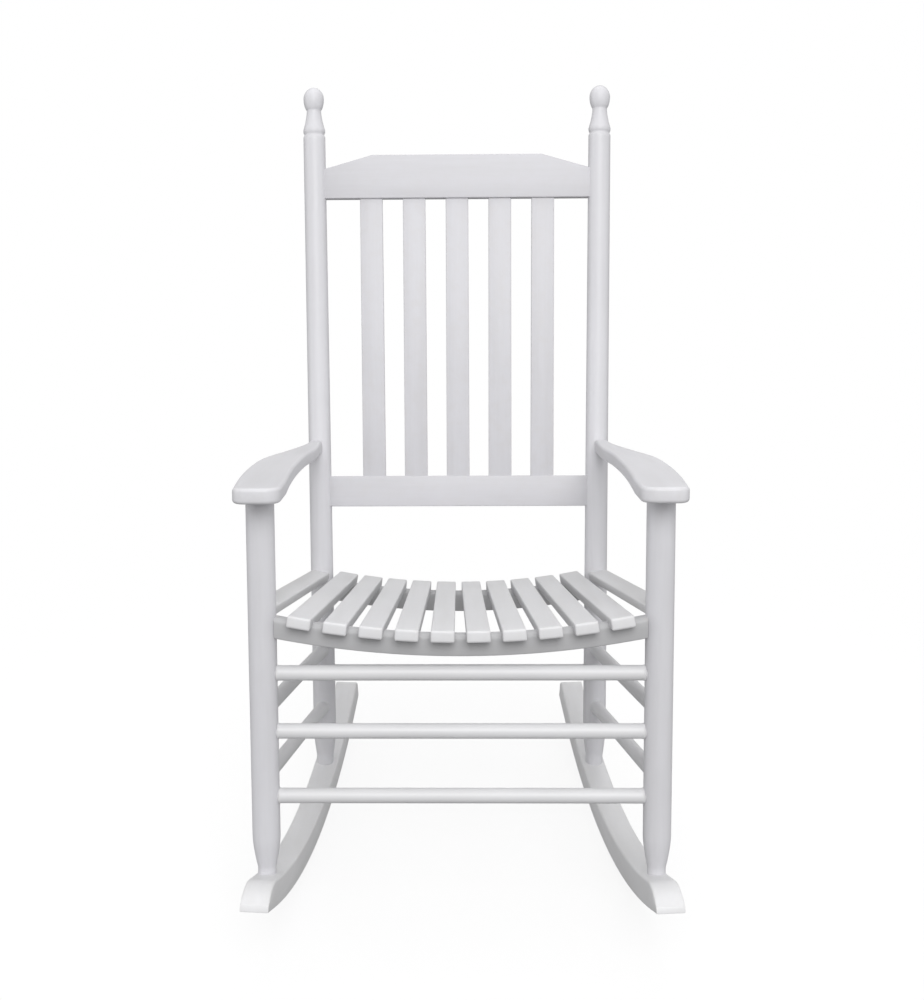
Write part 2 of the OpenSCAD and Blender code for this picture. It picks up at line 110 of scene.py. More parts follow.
def soft_light(name, place, target, size, watts, in_gloss=True):
    """A round soft light. With in_gloss off it lights the chair but is not mirrored in it."""
    lamp = bpy.data.lights.new(name, "AREA")
    lamp.shape = "DISK"
    lamp.size = size
    lamp.energy = watts
    holder = bpy.data.objects.new(name, lamp)
    turn = (Vector(target) - Vector(place)).to_track_quat("-Z", "Y")
    holder.matrix_world = Matrix.LocRotScale(Vector(place), turn, None)
    holder.visible_glossy = in_gloss
    bpy.context.scene.collection.objects.link(holder)


soft_light("high_light", (0.6, -5.4, 4.8), (0, 0, 0.4), 4.6, 308)
soft_light("top_light", (0.2, 1.0, 3.9), (0, 0.1, 0.4), 2.8, 30)
soft_light("left_light", (-3.4, -0.6, 1.5), (0, 0, 0.5), 2.2, 24)
soft_light("right_light", (3.4, -1.2, 1.5), (0, 0, 0.5), 2.2, 16)
soft_light("back_light", (0.6, 4.8, 0.9), (0, 0, 0.6), 3.6, 90, in_gloss=False)

# The floor is almost clear and thins out to nothing, so it has no far edge and a faint shadow.
fade_start, fade_end, least_clear = 0.30, 1.3, 0.86
floor_paint = bpy.data.materials.new("floor_paint")
floor_paint.use_nodes = True
floor_tree = floor_paint.node_tree
floor_shader = floor_tree.nodes["Principled BSDF"]
floor_shader.inputs["Base Color"].default_value = (0.97, 0.97, 0.97, 1)
floor_shader.inputs["Roughness"].default_value = 0.9
floor_place = floor_tree.nodes.new("ShaderNodeTexCoord")
floor_reach = floor_tree.nodes.new("ShaderNodeVectorMath")
floor_reach.operation = "LENGTH"
floor_fade = floor_tree.nodes.new("ShaderNodeMapRange")
floor_fade.interpolation_type = "SMOOTHSTEP"
floor_fade.inputs["From Min"].default_value = fade_start
floor_fade.inputs["From Max"].default_value = fade_end
floor_fade.inputs["To Min"].default_value = least_clear
floor_clear = floor_tree.nodes.new("ShaderNodeBsdfTransparent")
floor_mix = floor_tree.nodes.new("ShaderNodeMixShader")
floor_tree.links.new(floor_place.outputs["Object"], floor_reach.inputs[0])
floor_tree.links.new(floor_reach.outputs["Value"], floor_fade.inputs["Value"])
floor_tree.links.new(floor_fade.outputs["Result"], floor_mix.inputs[0])
floor_tree.links.new(floor_shader.outputs[0], floor_mix.inputs[1])
floor_tree.links.new(floor_clear.outputs[0], floor_mix.inputs[2])
floor_out = floor_tree.nodes["Material Output"]
floor_tree.links.new(floor_mix.outputs[0], floor_out.inputs["Surface"])
floor_shape = bmesh.new()
bmesh.ops.create_grid(floor_shape, x_segments=1, y_segments=1, size=2)
floor_mesh = bpy.data.meshes.new("floor")
floor_shape.to_mesh(floor_mesh)
floor_shape.free()
floor_mesh.materials.append(floor_paint)
floor = bpy.data.objects.new("floor", floor_mesh)
bpy.context.scene.collection.objects.link(floor)


# ---------------------------------------------------------------- rockers
# Two hardwood boards 38 mm wide and 36 mm high, bent to one radius and set slightly toed in.
# The long toe is sanded round, and the tail is sawn square with its upper corner eased.
# White satin enamel over a sanded face: the grain shows faintly, and the edges are rubbed.
def white_enamel(name, grain_turn, tone=(0.73, 0.73, 0.74), shine=0.36, grain=0.10, rub=0.5):
    """Satin enamel over wood. grain_turn lays the pattern's Z along the board's grain.

    tone is the colour, which each group of pieces gets lighter or darker as painted light and
    painted shade; shine the roughness, grain the depth of the figure, rub the edge wear.
    """
    paint = bpy.data.materials.new(name)
    paint.use_nodes = True
    tree = paint.node_tree
    shader = tree.nodes["Principled BSDF"]
    shader.inputs["IOR"].default_value = 1.47
    shader.inputs["Coat Weight"].default_value = 0.12
    shader.inputs["Coat Roughness"].default_value = 0.22

    place = tree.nodes.new("ShaderNodeTexCoord")
    along = tree.nodes.new("ShaderNodeMapping")
    along.vector_type = "TEXTURE"
    along.inputs["Rotation"].default_value = grain_turn
    along.inputs["Scale"].default_value = (1, 1, 16)
    tree.links.new(place.outputs["Object"], along.inputs["Vector"])

    def noise(scale, detail, source):
        made = tree.nodes.new("ShaderNodeTexNoise")
        made.inputs["Scale"].default_value = scale
        made.inputs["Detail"].default_value = detail
        made.inputs["Roughness"].default_value = 0.6
        tree.links.new(source, made.inputs["Vector"])
        return made.outputs["Fac"]

    pores = noise(520, 4, along.outputs["Vector"])
    brush = noise(170, 3, along.outputs["Vector"])
    figure = noise(38, 5, along.outputs["Vector"])
    patches = noise(7, 3, place.outputs["Object"])
    stipple = noise(900, 2, place.outputs["Object"])

    def ramp(source, low, high, dark, light):
        made = tree.nodes.new("ShaderNodeValToRGB")
        made.color_ramp.elements[0].position = low
        made.color_ramp.elements[1].position = high
        made.color_ramp.elements[0].color = (*dark, 1)
        made.color_ramp.elements[1].color = (*light, 1)
        tree.links.new(source, made.inputs["Fac"])
        return made.outputs["Color"]

    def mix(kind, amount, first, second):
        made = tree.nodes.new("ShaderNodeMix")
        made.data_type = "RGBA"
        made.blend_type = kind
        if isinstance(amount, float):
            made.inputs[0].default_value = amount
        else:
            tree.links.new(amount, made.inputs[0])
        tree.links.new(first, made.inputs[6])
        if isinstance(second, tuple):
            made.inputs[7].default_value = (*second, 1)
        else:
            tree.links.new(second, made.inputs[7])
        return made.outputs[2]

    dim = tuple(c * 0.955 for c in tone)
    body = ramp(patches, 0.30, 0.70, dim, tone)
    figure_tint = ramp(figure, 0.34, 0.60, (0.93, 0.925, 0.915), (1, 1, 1))
    brush_tint = ramp(brush, 0.30, 0.62, (0.95, 0.95, 0.95), (1, 1, 1))
    body = mix("MULTIPLY", 0.55, body, figure_tint)
    body = mix("MULTIPLY", 0.40, body, brush_tint)

    solid = tree.nodes.new("ShaderNodeNewGeometry")
    edges = ramp(solid.outputs["Pointiness"], 0.515, 0.60, (0, 0, 0), (1, 1, 1))
    broken = ramp(noise(60, 4, place.outputs["Object"]), 0.47, 0.66, (0, 0, 0), (rub, rub, rub))
    worn = mix("MULTIPLY", 1.0, edges, broken)
    body = mix("MIX", worn, body, tuple(c * f for c, f in zip(tone, (0.90, 0.87, 0.82))))
    tree.links.new(body, shader.inputs["Base Color"])

    gloss = tree.nodes.new("ShaderNodeMapRange")
    gloss.inputs["From Min"].default_value = 0.3
    gloss.inputs["From Max"].default_value = 0.7
    gloss.inputs["To Min"].default_value = shine - 0.06
    gloss.inputs["To Max"].default_value = shine + 0.09
    tree.links.new(mix("MIX", 0.5, patches, brush), gloss.inputs["Value"])
    tree.links.new(gloss.outputs["Result"], shader.inputs["Roughness"])

    last = None
    for source, strength, depth in (
        (figure, grain, 0.0006),
        (brush, 0.16, 0.0004),
        (pores, 0.14, 0.0003),
        (stipple, 0.05, 0.0002),
    ):
        bump = tree.nodes.new("ShaderNodeBump")
        bump.inputs["Strength"].default_value = strength
        bump.inputs["Distance"].default_value = depth
        tree.links.new(source, bump.inputs["Height"])
        if last:
            tree.links.new(last, bump.inputs["Normal"])
        last = bump.outputs["Normal"]
    tree.links.new(last, shader.inputs["Normal"])
    return paint


def finish_piece(shape, name, node, paint, place=standing):
    """Closes a shape drawn in millimetres, stands it in the chair and gives it its paint."""
    crease_angle = math.radians(40)
    bmesh.ops.remove_doubles(shape, verts=shape.verts, dist=0.01)
    bmesh.ops.transform(shape, matrix=place, verts=shape.verts)
    bmesh.ops.recalc_face_normals(shape, faces=shape.faces)
    mesh = bpy.data.meshes.new(name)
    shape.to_mesh(mesh)
    shape.free()
    mesh.shade_smooth()
    mesh.set_sharp_from_angle(angle=crease_angle)
    mesh.materials.append(paint)
    piece = bpy.data.objects.new(name, mesh)
    bpy.context.scene.collection.objects.link(piece)
    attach(piece, "root")
    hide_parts(node)


def rounded_section(width, height, ease):
    """A flat rectangle in X and Y with rounded corners, as a new shape."""
    shape = bmesh.new()
    bmesh.ops.create_grid(shape, x_segments=1, y_segments=1, size=0.5)
    bmesh.ops.scale(shape, vec=(width, height, 1), verts=shape.verts)
    bmesh.ops.bevel(shape, geom=shape.verts[:], offset=ease, offset_type="OFFSET",
                    affect="VERTICES", segments=3, profile=0.5, material=-1)
    return shape


def ease_end(shape, face, ease):
    """Rounds the rim of an end face by insetting it in three steps of a quarter circle."""
    for step in range(3):
        a, b = math.pi / 2 * step / 3, math.pi / 2 * (step + 1) / 3
        bmesh.ops.inset_region(shape, faces=[face], use_even_offset=True,
                               thickness=ease * (math.cos(a) - math.cos(b)),
                               depth=ease * (math.sin(b) - math.sin(a)))


# The rockers get a lighter white than the rest of the chair: painted light for their tops, which
# face the light.
rocker_lit_white = white_enamel("rocker_lit_white", (math.radians(-90), 0, 0),
                            tone=(0.745, 0.745, 0.757), shine=0.42, rub=0.7)
rocker_thick, rocker_high, rocker_turn = 38.0, 36.0, math.radians(5.1)
top_arc = arc_radius - rocker_high
toe_angle, tail_angle = math.radians(19.9), math.radians(22.9)
toe_round, toe_reach, tail_round = 56.0, 48.0, 6.0
corner_ease, toe_ease, tail_ease = 3.0, 0.6, 2.2

# Each rocker passes 4 mm inside the middle of its front leg.
leg_x, leg_inset = 264.5, 4
foot_reach = arc_low_y + top_arc * math.sin(rest_lean)
rocker_mid_x = leg_x - leg_inset - foot_reach * math.tan(rocker_turn)

# The arc is swept in three parts, with close steps where the two ends are rounded.
toe_part, tail_part = math.radians(2.8), tail_round / top_arc
middle_part = toe_angle + tail_angle - toe_part - tail_part
bend = dict(cent=(0, 0, 0), axis=(1, 0, 0), dvec=(0, 0, 0), use_merge=False, use_duplicate=False)
for side, hand in ((-1, "left"), (1, "right")):
    board = rounded_section(rocker_thick, rocker_high, corner_ease)
    for f in board.faces[:]:
        board.faces.remove(f)
    bmesh.ops.rotate(board, matrix=Matrix.Rotation(math.pi / 2, 3, "X"), verts=board.verts)
    bmesh.ops.translate(board, vec=(0, 0, -(arc_radius - rocker_high / 2)), verts=board.verts)
    bmesh.ops.rotate(board, matrix=Matrix.Rotation(-toe_angle, 3, "X"), verts=board.verts)
    swept = board.verts[:] + board.edges[:]
    for part, steps in ((toe_part, 20), (middle_part, 96), (tail_part, 8)):
        swept = bmesh.ops.spin(board, geom=swept, angle=part, steps=steps, **bend)["geom_last"]
    for v in board.verts:
        from_centre = math.hypot(v.co.y, v.co.z)
        along = math.atan2(v.co.y, -v.co.z)
        if v.co.y > 0:
            round_r, into = tail_round, tail_round - (tail_angle - along) * top_arc
        else:
            round_r, into = toe_round, toe_reach - (toe_angle + along) * top_arc
        if into > 0:
            top = rocker_high - round_r + math.sqrt(max(0, round_r ** 2 - into ** 2))
            reach = arc_radius - from_centre
            squeeze = (arc_radius - reach * top / rocker_high) / from_centre
            v.co.y *= squeeze
            v.co.z *= squeeze
    bmesh.ops.recalc_face_normals(board, faces=board.faces)
    open_ends = [e for e in board.edges if e.is_boundary]
    caps = bmesh.ops.holes_fill(board, edges=open_ends, sides=0)["faces"]
    bmesh.ops.recalc_face_normals(board, faces=board.faces)
    for cap in caps:
        at_toe = cap.calc_center_median().y < 0
        ease_end(board, cap, toe_ease if at_toe else tail_ease)
    place = (
        Matrix.Scale(0.001, 4)
        @ Matrix.Translation((side * rocker_mid_x, plan_shift, arc_radius))
        @ Matrix.Rotation(side * rocker_turn, 4, "Z")
        @ Matrix.Rotation(-rest_lean, 4, "X")
    )
    finish_piece(board, f"{hand}_rocker_board", f"{hand}_rocker",
                 rocker_lit_white, place)


# ---------------------------------------------------------------- front legs
# Plain round legs turned from 38 mm hardwood, drawn in at the foot and let into the rockers.
# The shoulder stops at the underside of the arm, and a round tenon goes on up into it.
def turned(points, steps=56):
    """Turns a half profile of (radius, height) pairs about the Z axis."""
    shape = bmesh.new()
    rail = [shape.verts.new((r, 0, z)) for r, z in points]
    for a, b in zip(rail, rail[1:]):
        shape.edges.new((a, b))
    bmesh.ops.spin(shape, geom=shape.verts[:] + shape.edges[:], cent=(0, 0, 0),
                   axis=(0, 0, 1), dvec=(0, 0, 0), angle=math.tau, steps=steps,
                   use_merge=True, use_duplicate=False)
    bmesh.ops.remove_doubles(shape, verts=shape.verts, dist=0.001)
    return shape


taper_low, taper_long = 11, 44
taper_top = taper_low + taper_long


def foot_profile(thin, r, foot_z):
    """Half profile of a foot: thin where it enters the rocker, then a taper up to radius r."""
    half = [(0, foot_z - 15), (thin - 1, foot_z - 15), (thin, foot_z - 14)]
    half += [(thin, foot_z + 3), (thin, foot_z + 8)]
    for i in range(15):
        swell = 1 - (1 - i / 14) ** 1.5
        half.append((thin + (r - thin) * swell, foot_z + taper_low + taper_long * i / 14))
    return half


leg_r, leg_foot_r, leg_top = 19.0, 12.5, 591.5
leg_foot = arc_radius - math.sqrt(top_arc ** 2 - arc_low_y ** 2)
leg_white = white_enamel("leg_white", (-rest_lean, 0, 0),
                         tone=(0.665, 0.662, 0.69), shine=0.50, grain=0.08)
for side, hand in ((-1, "left"), (1, "right")):
    rise = leg_top - 4 - leg_foot - taper_top
    half = foot_profile(leg_foot_r, leg_r, leg_foot)
    half += [(leg_r, leg_foot + taper_top + rise * i / 12) for i in range(1, 13)]
    half += [(leg_r - 0.6, leg_top), (0, leg_top)]
    leg = turned(half)
    bmesh.ops.translate(leg, vec=(side * leg_x, 0, 0), verts=leg.verts)
    finish_piece(leg, f"{hand}_turned_leg", f"{hand}_front_leg", leg_white)


# ---------------------------------------------------------------- back posts
# One 37 mm hardwood turning each, from a foot let into the rocker up to the finial.
# The finial is a ball on a hollow neck above a cut ring. They lean back and splay outwards.
post_r, post_foot_r = 18.5, 13.75
post_x, post_y, post_length = 221.0, 443.5, 1184.0
back_lean, post_splay = math.radians(10.7), math.radians(1.06)
leaning_back = Matrix.Translation((0, post_y, 0)) @ Matrix.Rotation(-back_lean, 4, "X")
rocker_entry = 55
post_foot_y = post_y - arc_low_y + rocker_entry * math.sin(back_lean)
post_foot = (arc_radius - math.sqrt(top_arc ** 2 - post_foot_y ** 2)) / math.cos(back_lean)

# Finial levels are measured down from the top of the ball: first the cut ring, then the
# flare that narrows to the neck, then the ball, whose lower half is longer than its upper.
finial_long, ball_r, ball_top, ball_low, neck, flare = 92, 17.3, 20.0, 28.0, 40.0, 73.0
neck_r = ball_r * math.sqrt(1 - ((neck - ball_top) / ball_low) ** 2)
finial = []
cut_ring = [(0, finial_long), (0, 85.5), (0.5, 84.2), (1.6, 82.6), (1.7, 80.6), (0.5, 78.6)]
cut_ring += [(0.1, 77), (0, 75)]
for depth, level in cut_ring:
    finial.append((post_r - depth, post_length - level))
for i in range(14):
    left = 1 - i / 14
    level = post_length - neck - (flare - neck) * left
    finial.append((neck_r + (post_r - neck_r) * left ** 1.6, level))
finial += [(neck_r, post_length - neck), (neck_r + 0.1, post_length - neck + 0.8)]
for level in (17.5, 15, 12, 9, 6, 3):
    across = ball_r * math.sqrt(1 - (level / ball_low) ** 2)
    finial.append((across, post_length - ball_top - level))
for degrees in range(90, -1, -9):
    a = math.radians(degrees)
    finial.append((ball_r * math.sin(a), post_length - ball_top * (1 - math.cos(a))))

# The posts get a darker white than the seat: painted shade that holds down the light falling on
# their upper part.
post_shaded_white = white_enamel("post_shaded_white", (-rest_lean - back_lean, 0, 0),
                          tone=(0.665, 0.662, 0.69), shine=0.50, grain=0.08)
for side, hand in ((-1, "left"), (1, "right")):
    rise = post_length - finial_long - post_foot - taper_top
    shaft = [(post_r, post_foot + taper_top + rise * i / 24) for i in range(1, 24)]
    post = turned(foot_profile(post_foot_r, post_r, post_foot) + shaft + finial)
    splay = Matrix.Rotation(side * post_splay, 4, "Y")
    lean = leaning_back @ Matrix.Translation((side * post_x, 0, 0)) @ splay
    bmesh.ops.transform(post, matrix=lean, verts=post.verts)
    finish_piece(post, f"{hand}_turned_post", f"{hand}_back_post", post_shaded_white)


# ---------------------------------------------------------------- stretchers
# Round hardwood rods, three across the front, two down each side and one across the rear.
# Each end is glued into a bore, with a thin fillet of enamel gathered where rod meets leg.
rod_r, fillet_long = 10.2, 6


def post_axis(z):
    """A point on the axis of the right back post at height z."""
    along = z / math.cos(back_lean)
    x = post_x + along * math.sin(post_splay)
    return Vector((x, post_y + along * math.sin(back_lean), z))


def rod_between(a, b, bury_a, bury_b):
    """A rod from a to b. The first bury millimetres at each end lie inside a leg."""
    a, b = Vector(a), Vector(b)
    low, high = bury_a - 1.5, (b - a).length - bury_b + 1.5
    end = [(-rod_r, -8), (-3, -8), (-0.4, 0), (1.1, 0.8), (0.5, 1.9), (0.1, 3.4), (0, fillet_long)]
    plain = high - low - 2 * fillet_long
    half = [(rod_r + out, low + step) for out, step in end]
    half += [(rod_r, low + fillet_long + plain * i / 12) for i in range(1, 12)]
    half += [(rod_r + out, high - step) for out, step in reversed(end)]
    rod = turned(half, 40)
    turn = (b - a).to_track_quat("Z", "Y").to_matrix().to_4x4()
    bmesh.ops.transform(rod, matrix=Matrix.Translation(a) @ turn, verts=rod.verts)
    return rod


rod_across_white = white_enamel("rod_across_white", (0, math.radians(90), 0),
                                tone=(0.72, 0.72, 0.735), shine=0.44)
for height, level in ((351.5, "top"), (270.7, "middle"), (180.0, "bottom")):
    rod = rod_between((-leg_x, 0, height), (leg_x, 0, height), leg_r, leg_r)
    name = f"front_stretcher_{level}"
    finish_piece(rod, f"{name}_rod", name, rod_across_white)
rear_height = 199.0
rear_right = post_axis(rear_height)
rod = rod_between((-rear_right.x, rear_right.y, rear_right.z), rear_right, post_r, post_r)
finish_piece(rod, "rear_stretcher_rod", "rear_stretcher", rod_across_white)

rod_side_white = white_enamel("rod_side_white", (math.radians(-103), 0, 0),
                              tone=(0.72, 0.72, 0.735), shine=0.44)
for side, hand in ((-1, "left"), (1, "right")):
    for front_z, rear_z, level in ((298.0, 233.5, "upper"), (205.5, 143.0, "lower")):
        front, rear = Vector((leg_x, 0, front_z)), post_axis(rear_z)
        front.x, rear.x = side * front.x, side * rear.x
        rod = rod_between(front, rear, leg_r, post_r)
        name = f"{hand}_side_stretcher_{level}"
        finish_piece(rod, f"{name}_rod", name, rod_side_white)


# ---------------------------------------------------------------- front and rear seat rails
# Boards sawn to the dip of the seat, with rounded upper edges, tenoned between the legs and
# between the posts. The slats fill the notches in their tops, so they are drawn whole here.
def dip(radius, x):
    """How far an arc of this radius has risen at x from its lowest point."""
    return radius - math.sqrt(radius * radius - x * x)


seat_rail_thick, front_dip, rear_dip = 22.0, 1266.0, 1119.0
# Both seat rails get a much darker white than the rest of the chair: painted shade, where the
# slats overhang them.
seat_rail_shaded_white = white_enamel("seat_rail_shaded_white", (0, math.radians(90), 0),
                          tone=(0.47, 0.47, 0.48), shine=0.62, grain=0.22)
for name, mid_y, low, high, radius, half, ease in (
    ("seat_front_rail", 0.0, 377.2, 28.5, front_dip, 248.0, 7.0),
    ("seat_rear_rail", 507.0, 295.5, 31.0, rear_dip, 212.0, 5.0),
):
    rail = bmesh.new()
    bmesh.ops.create_cube(rail, size=1)
    bmesh.ops.scale(rail, vec=(2 * half, seat_rail_thick, high), verts=rail.verts)
    long_edges = [e for e in rail.edges if abs(e.verts[0].co.x - e.verts[1].co.x) > half]
    top_edges = [e for e in long_edges if all(v.co.z > 0 for v in e.verts)]
    bmesh.ops.bevel(rail, geom=top_edges, offset=ease, offset_type="OFFSET", affect="EDGES",
                    segments=5, profile=0.5, material=-1, clamp_overlap=True)
    long_edges = [e for e in rail.edges if abs(e.verts[0].co.x - e.verts[1].co.x) > half]
    low_edges = [e for e in long_edges if all(v.co.z < -10 for v in e.verts)]
    bmesh.ops.bevel(rail, geom=low_edges, offset=2.0, offset_type="OFFSET", affect="EDGES",
                    segments=3, profile=0.5, material=-1, clamp_overlap=True)
    for cut in range(1, 48):
        bmesh.ops.bisect_plane(rail, geom=rail.verts[:] + rail.edges[:] + rail.faces[:],
                               plane_co=(-half + 2 * half * cut / 48, 0, 0), plane_no=(1, 0, 0))
    for v in rail.verts:
        v.co.z += low + high / 2 + dip(radius, v.co.x)
        v.co.y += mid_y
    finish_piece(rail, f"{name}_board", name, seat_rail_shaded_white)


# ---------------------------------------------------------------- side seat rails
# Flat boards from each front leg to the back post, canted like the outer slats.
# They are tenoned in at both ends, and each end is drawn a little way into the leg or post.
side_rail_white = white_enamel("side_rail_white", (math.radians(-105), 0, 0))
side_rail_wide, side_rail_thick, side_rail_cant = 30.0, 14.0, math.radians(9.5)
side_front = Vector((leg_x, 0, 444.0))
side_rear = post_axis(361.5)
side_run = side_rear - side_front
side_long = side_run.length - 22
side_turn = (
    Matrix.Translation(side_front)
    @ Matrix.Rotation(-math.atan2(side_run.x, side_run.y), 4, "Z")
    @ Matrix.Rotation(math.atan2(side_run.z, math.hypot(side_run.x, side_run.y)), 4, "X")
    @ Matrix.Rotation(-side_rail_cant, 4, "Y")
)
for side, hand in ((-1, "left"), (1, "right")):
    rail = bmesh.new()
    bmesh.ops.create_cube(rail, size=1)
    bmesh.ops.scale(rail, vec=(side_rail_wide, side_long, side_rail_thick), verts=rail.verts)
    bmesh.ops.bevel(rail, geom=rail.edges[:], offset=2.6, offset_type="OFFSET", affect="EDGES",
                    segments=4, profile=0.5, material=-1, clamp_overlap=True)
    middle = (0, side_run.length / 2, -side_rail_thick / 2)
    bmesh.ops.translate(rail, vec=middle, verts=rail.verts)
    bmesh.ops.transform(rail, matrix=side_turn, verts=rail.verts)
    if side < 0:
        bmesh.ops.scale(rail, vec=(-1, 1, 1), verts=rail.verts)
    finish_piece(rail, f"{hand}_seat_side_board", f"{hand}_seat_rail",
                 side_rail_white)


# ---------------------------------------------------------------- seat slats
# Ten straight boards, planed and with eased edges, fanned out to the front and canted to the dip.
# They are screwed from below into the notches of both rails, and their noses overhang the front.
slat_white = white_enamel("slat_white", (math.radians(-104.25), 0, 0),
                          tone=(0.695, 0.695, 0.71), shine=0.42, grain=0.16, rub=0.6)
slat_wide, slat_thick = 31.5, 16.0
slat_front_y, slat_rear_y = -32.0, 541.0
front_pitch, rear_pitch = 47.1, 40.9
seat_level, seat_fall = 413.6, math.radians(8.25)
seat_slope = Matrix.Translation((0, 0, seat_level)) @ Matrix.Rotation(-seat_fall, 4, "X")
run = slat_rear_y - slat_front_y
for n in range(1, 11):
    front_x, rear_x = (n - 5.5) * front_pitch, (n - 5.5) * rear_pitch
    front_z, rear_z = dip(front_dip, front_x), dip(rear_dip, rear_x)
    slat = bmesh.new()
    bmesh.ops.create_cube(slat, size=1)
    bmesh.ops.scale(slat, vec=(slat_wide, run, slat_thick), verts=slat.verts)
    bmesh.ops.translate(slat, vec=(0, run / 2, -slat_thick / 2), verts=slat.verts)
    front_end = [e for e in slat.edges if all(v.co.y < 1 for v in e.verts)]
    nose = [e for e in front_end if abs(e.verts[0].co.z - e.verts[1].co.z) < 1]
    bmesh.ops.bevel(slat, geom=nose, offset=3.2, offset_type="OFFSET", affect="EDGES",
                    segments=6, profile=0.5, material=-1, clamp_overlap=False)
    rims = [e for e in slat.edges if e.calc_face_angle() > math.radians(40)]
    bmesh.ops.bevel(slat, geom=rims, offset=2.2, offset_type="OFFSET", affect="EDGES",
                    segments=4, profile=0.5, material=-1, clamp_overlap=False)
    lay = (
        seat_slope
        @ Matrix.Translation((front_x, slat_front_y, front_z))
        @ Matrix.Rotation(-math.atan2(rear_x - front_x, run), 4, "Z")
        @ Matrix.Rotation(math.atan2(rear_z - front_z, run), 4, "X")
        @ Matrix.Rotation(-math.asin(front_x / front_dip), 4, "Y")
    )
    bmesh.ops.transform(slat, matrix=lay, verts=slat.verts)
    finish_piece(slat, f"seat_board_{n:02d}", f"seat_slat_{n:02d}", slat_white)


# ---------------------------------------------------------------- back rails
# The crest rail is sawn with sloped shoulders, the lower rail is straight; both are 18 mm boards.
# They are tenoned into the posts and pinned, with mortises for the back slats.
# The back rails get a darker white than the seat and arms: painted shade that holds down the front
# light falling on the back.
back_across_shaded_white = white_enamel("back_across_shaded_white", (0, math.radians(90), 0),
                                 tone=(0.59, 0.586, 0.614), shine=0.52)
board_thick, board_ease, end_gap = 18.0, 1.5, 4
crest_low, crest_high, crest_end_high, crest_level = 992.5, 74.0, 52.5, 143.0
crest_end = post_x + crest_low * math.sin(post_splay) - end_gap
shoulder = (crest_high - crest_end_high) / (crest_end - post_r - crest_level)
end_high = crest_low + crest_end_high - shoulder * post_r
lower_low, lower_high = 474.5, 50.5
lower_end = post_x + lower_low * math.sin(post_splay) - end_gap
crest_top, lower_top = crest_low + crest_high, lower_low + lower_high
crest_outline = [(-crest_end, crest_low), (crest_end, crest_low), (crest_end, end_high)]
crest_outline += [(crest_level, crest_top), (-crest_level, crest_top), (-crest_end, end_high)]
lower_outline = [(-lower_end, lower_low), (lower_end, lower_low)]
lower_outline += [(lower_end, lower_top), (-lower_end, lower_top)]


def thick_board(face, lift):
    """Gives a new shape's one face a second face, moved by lift, and the sides between them."""
    shape = bmesh.new()
    first = shape.faces.new([shape.verts.new(corner) for corner in face])
    second = bmesh.ops.duplicate(shape, geom=[first])["geom"]
    moved = [g for g in second if isinstance(g, bmesh.types.BMVert)]
    bmesh.ops.translate(shape, vec=lift, verts=moved)
    bmesh.ops.bridge_loops(shape, edges=shape.edges[:])
    bmesh.ops.recalc_face_normals(shape, faces=shape.faces)
    return shape


for name, outline in (("crest_rail", crest_outline), ("lower_back_rail", lower_outline)):
    board = thick_board([(x, -board_thick / 2, z) for x, z in outline], (0, board_thick, 0))
    bmesh.ops.bevel(board, geom=board.edges[:], offset=board_ease, offset_type="OFFSET",
                    affect="EDGES", segments=4, profile=0.5, material=-1, clamp_overlap=True)
    bmesh.ops.transform(board, matrix=leaning_back, verts=board.verts)
    finish_piece(board, f"{name}_board", name, back_across_shaded_white)


# ---------------------------------------------------------------- back slats
# Five flat slats, 38 mm wide and 10 mm thick, spread slightly towards the crest.
# Their square ends sit in mortises in both rails.
# The back slats get a darker white than the seat and arms: painted shade that holds down the front
# light falling on the back.
back_slat_shaded_white = white_enamel("back_slat_shaded_white", (-rest_lean - back_lean, 0, 0),
                               tone=(0.59, 0.586, 0.614), shine=0.48, grain=0.12)
back_slat_wide, back_slat_thick, mortise_deep = 38.0, 10.0, 12
low_pitch, high_pitch = 69.8, 72.4
slat_low, slat_high = lower_top - mortise_deep, crest_low + mortise_deep
slat_long = slat_high - slat_low
for n in range(1, 6):
    low_x, high_x = (n - 3) * low_pitch, (n - 3) * high_pitch
    slat = bmesh.new()
    bmesh.ops.create_cube(slat, size=1)
    bmesh.ops.scale(slat, vec=(back_slat_wide, back_slat_thick, slat_long), verts=slat.verts)
    bmesh.ops.bevel(slat, geom=slat.edges[:], offset=1.4, offset_type="OFFSET", affect="EDGES",
                    segments=3, profile=0.5, material=-1, clamp_overlap=True)
    bmesh.ops.translate(slat, vec=(0, 0, slat_long / 2), verts=slat.verts)
    spread = Matrix.Rotation(math.atan2(high_x - low_x, slat_long), 4, "Y")
    lay = leaning_back @ Matrix.Translation((low_x, 0, slat_low)) @ spread
    bmesh.ops.transform(slat, matrix=lay, verts=slat.verts)
    finish_piece(slat, f"back_board_{n}", f"back_slat_{n}", back_slat_shaded_white)


# ---------------------------------------------------------------- arms
# Flat paddles sawn from 21 mm board, broad over the front leg and drawn in to the back post.
# All edges are rounded over. The leg's tenon holds the front, and a tenon and a screw the rear.
arm_white = white_enamel("arm_white", (math.radians(-99.65), 0, 0),
                         tone=(0.675, 0.672, 0.698), shine=0.46, grain=0.13, rub=0.7)
arm_thick, arm_overhang, arm_rear = 21.0, 64.0, 536.0
arm_front_outer, arm_rear_outer = 292.5, 248
arm_front_inner, arm_rear_inner = 231, 226.5
outer_round, inner_round = 18.0, 22.0
arm_top, arm_fall = 611.3, math.radians(3.65)
arm_slope = Matrix.Translation((0, 0, arm_top)) @ Matrix.Rotation(-arm_fall, 4, "X")


def share(y, start, length):
    """How much of the stretch of this length after start has been passed at y, from 0 to 1."""
    return max(0.0, min(1.0, (y - start) / length))


def eased(t):
    return (1 - math.cos(math.pi * t)) / 2


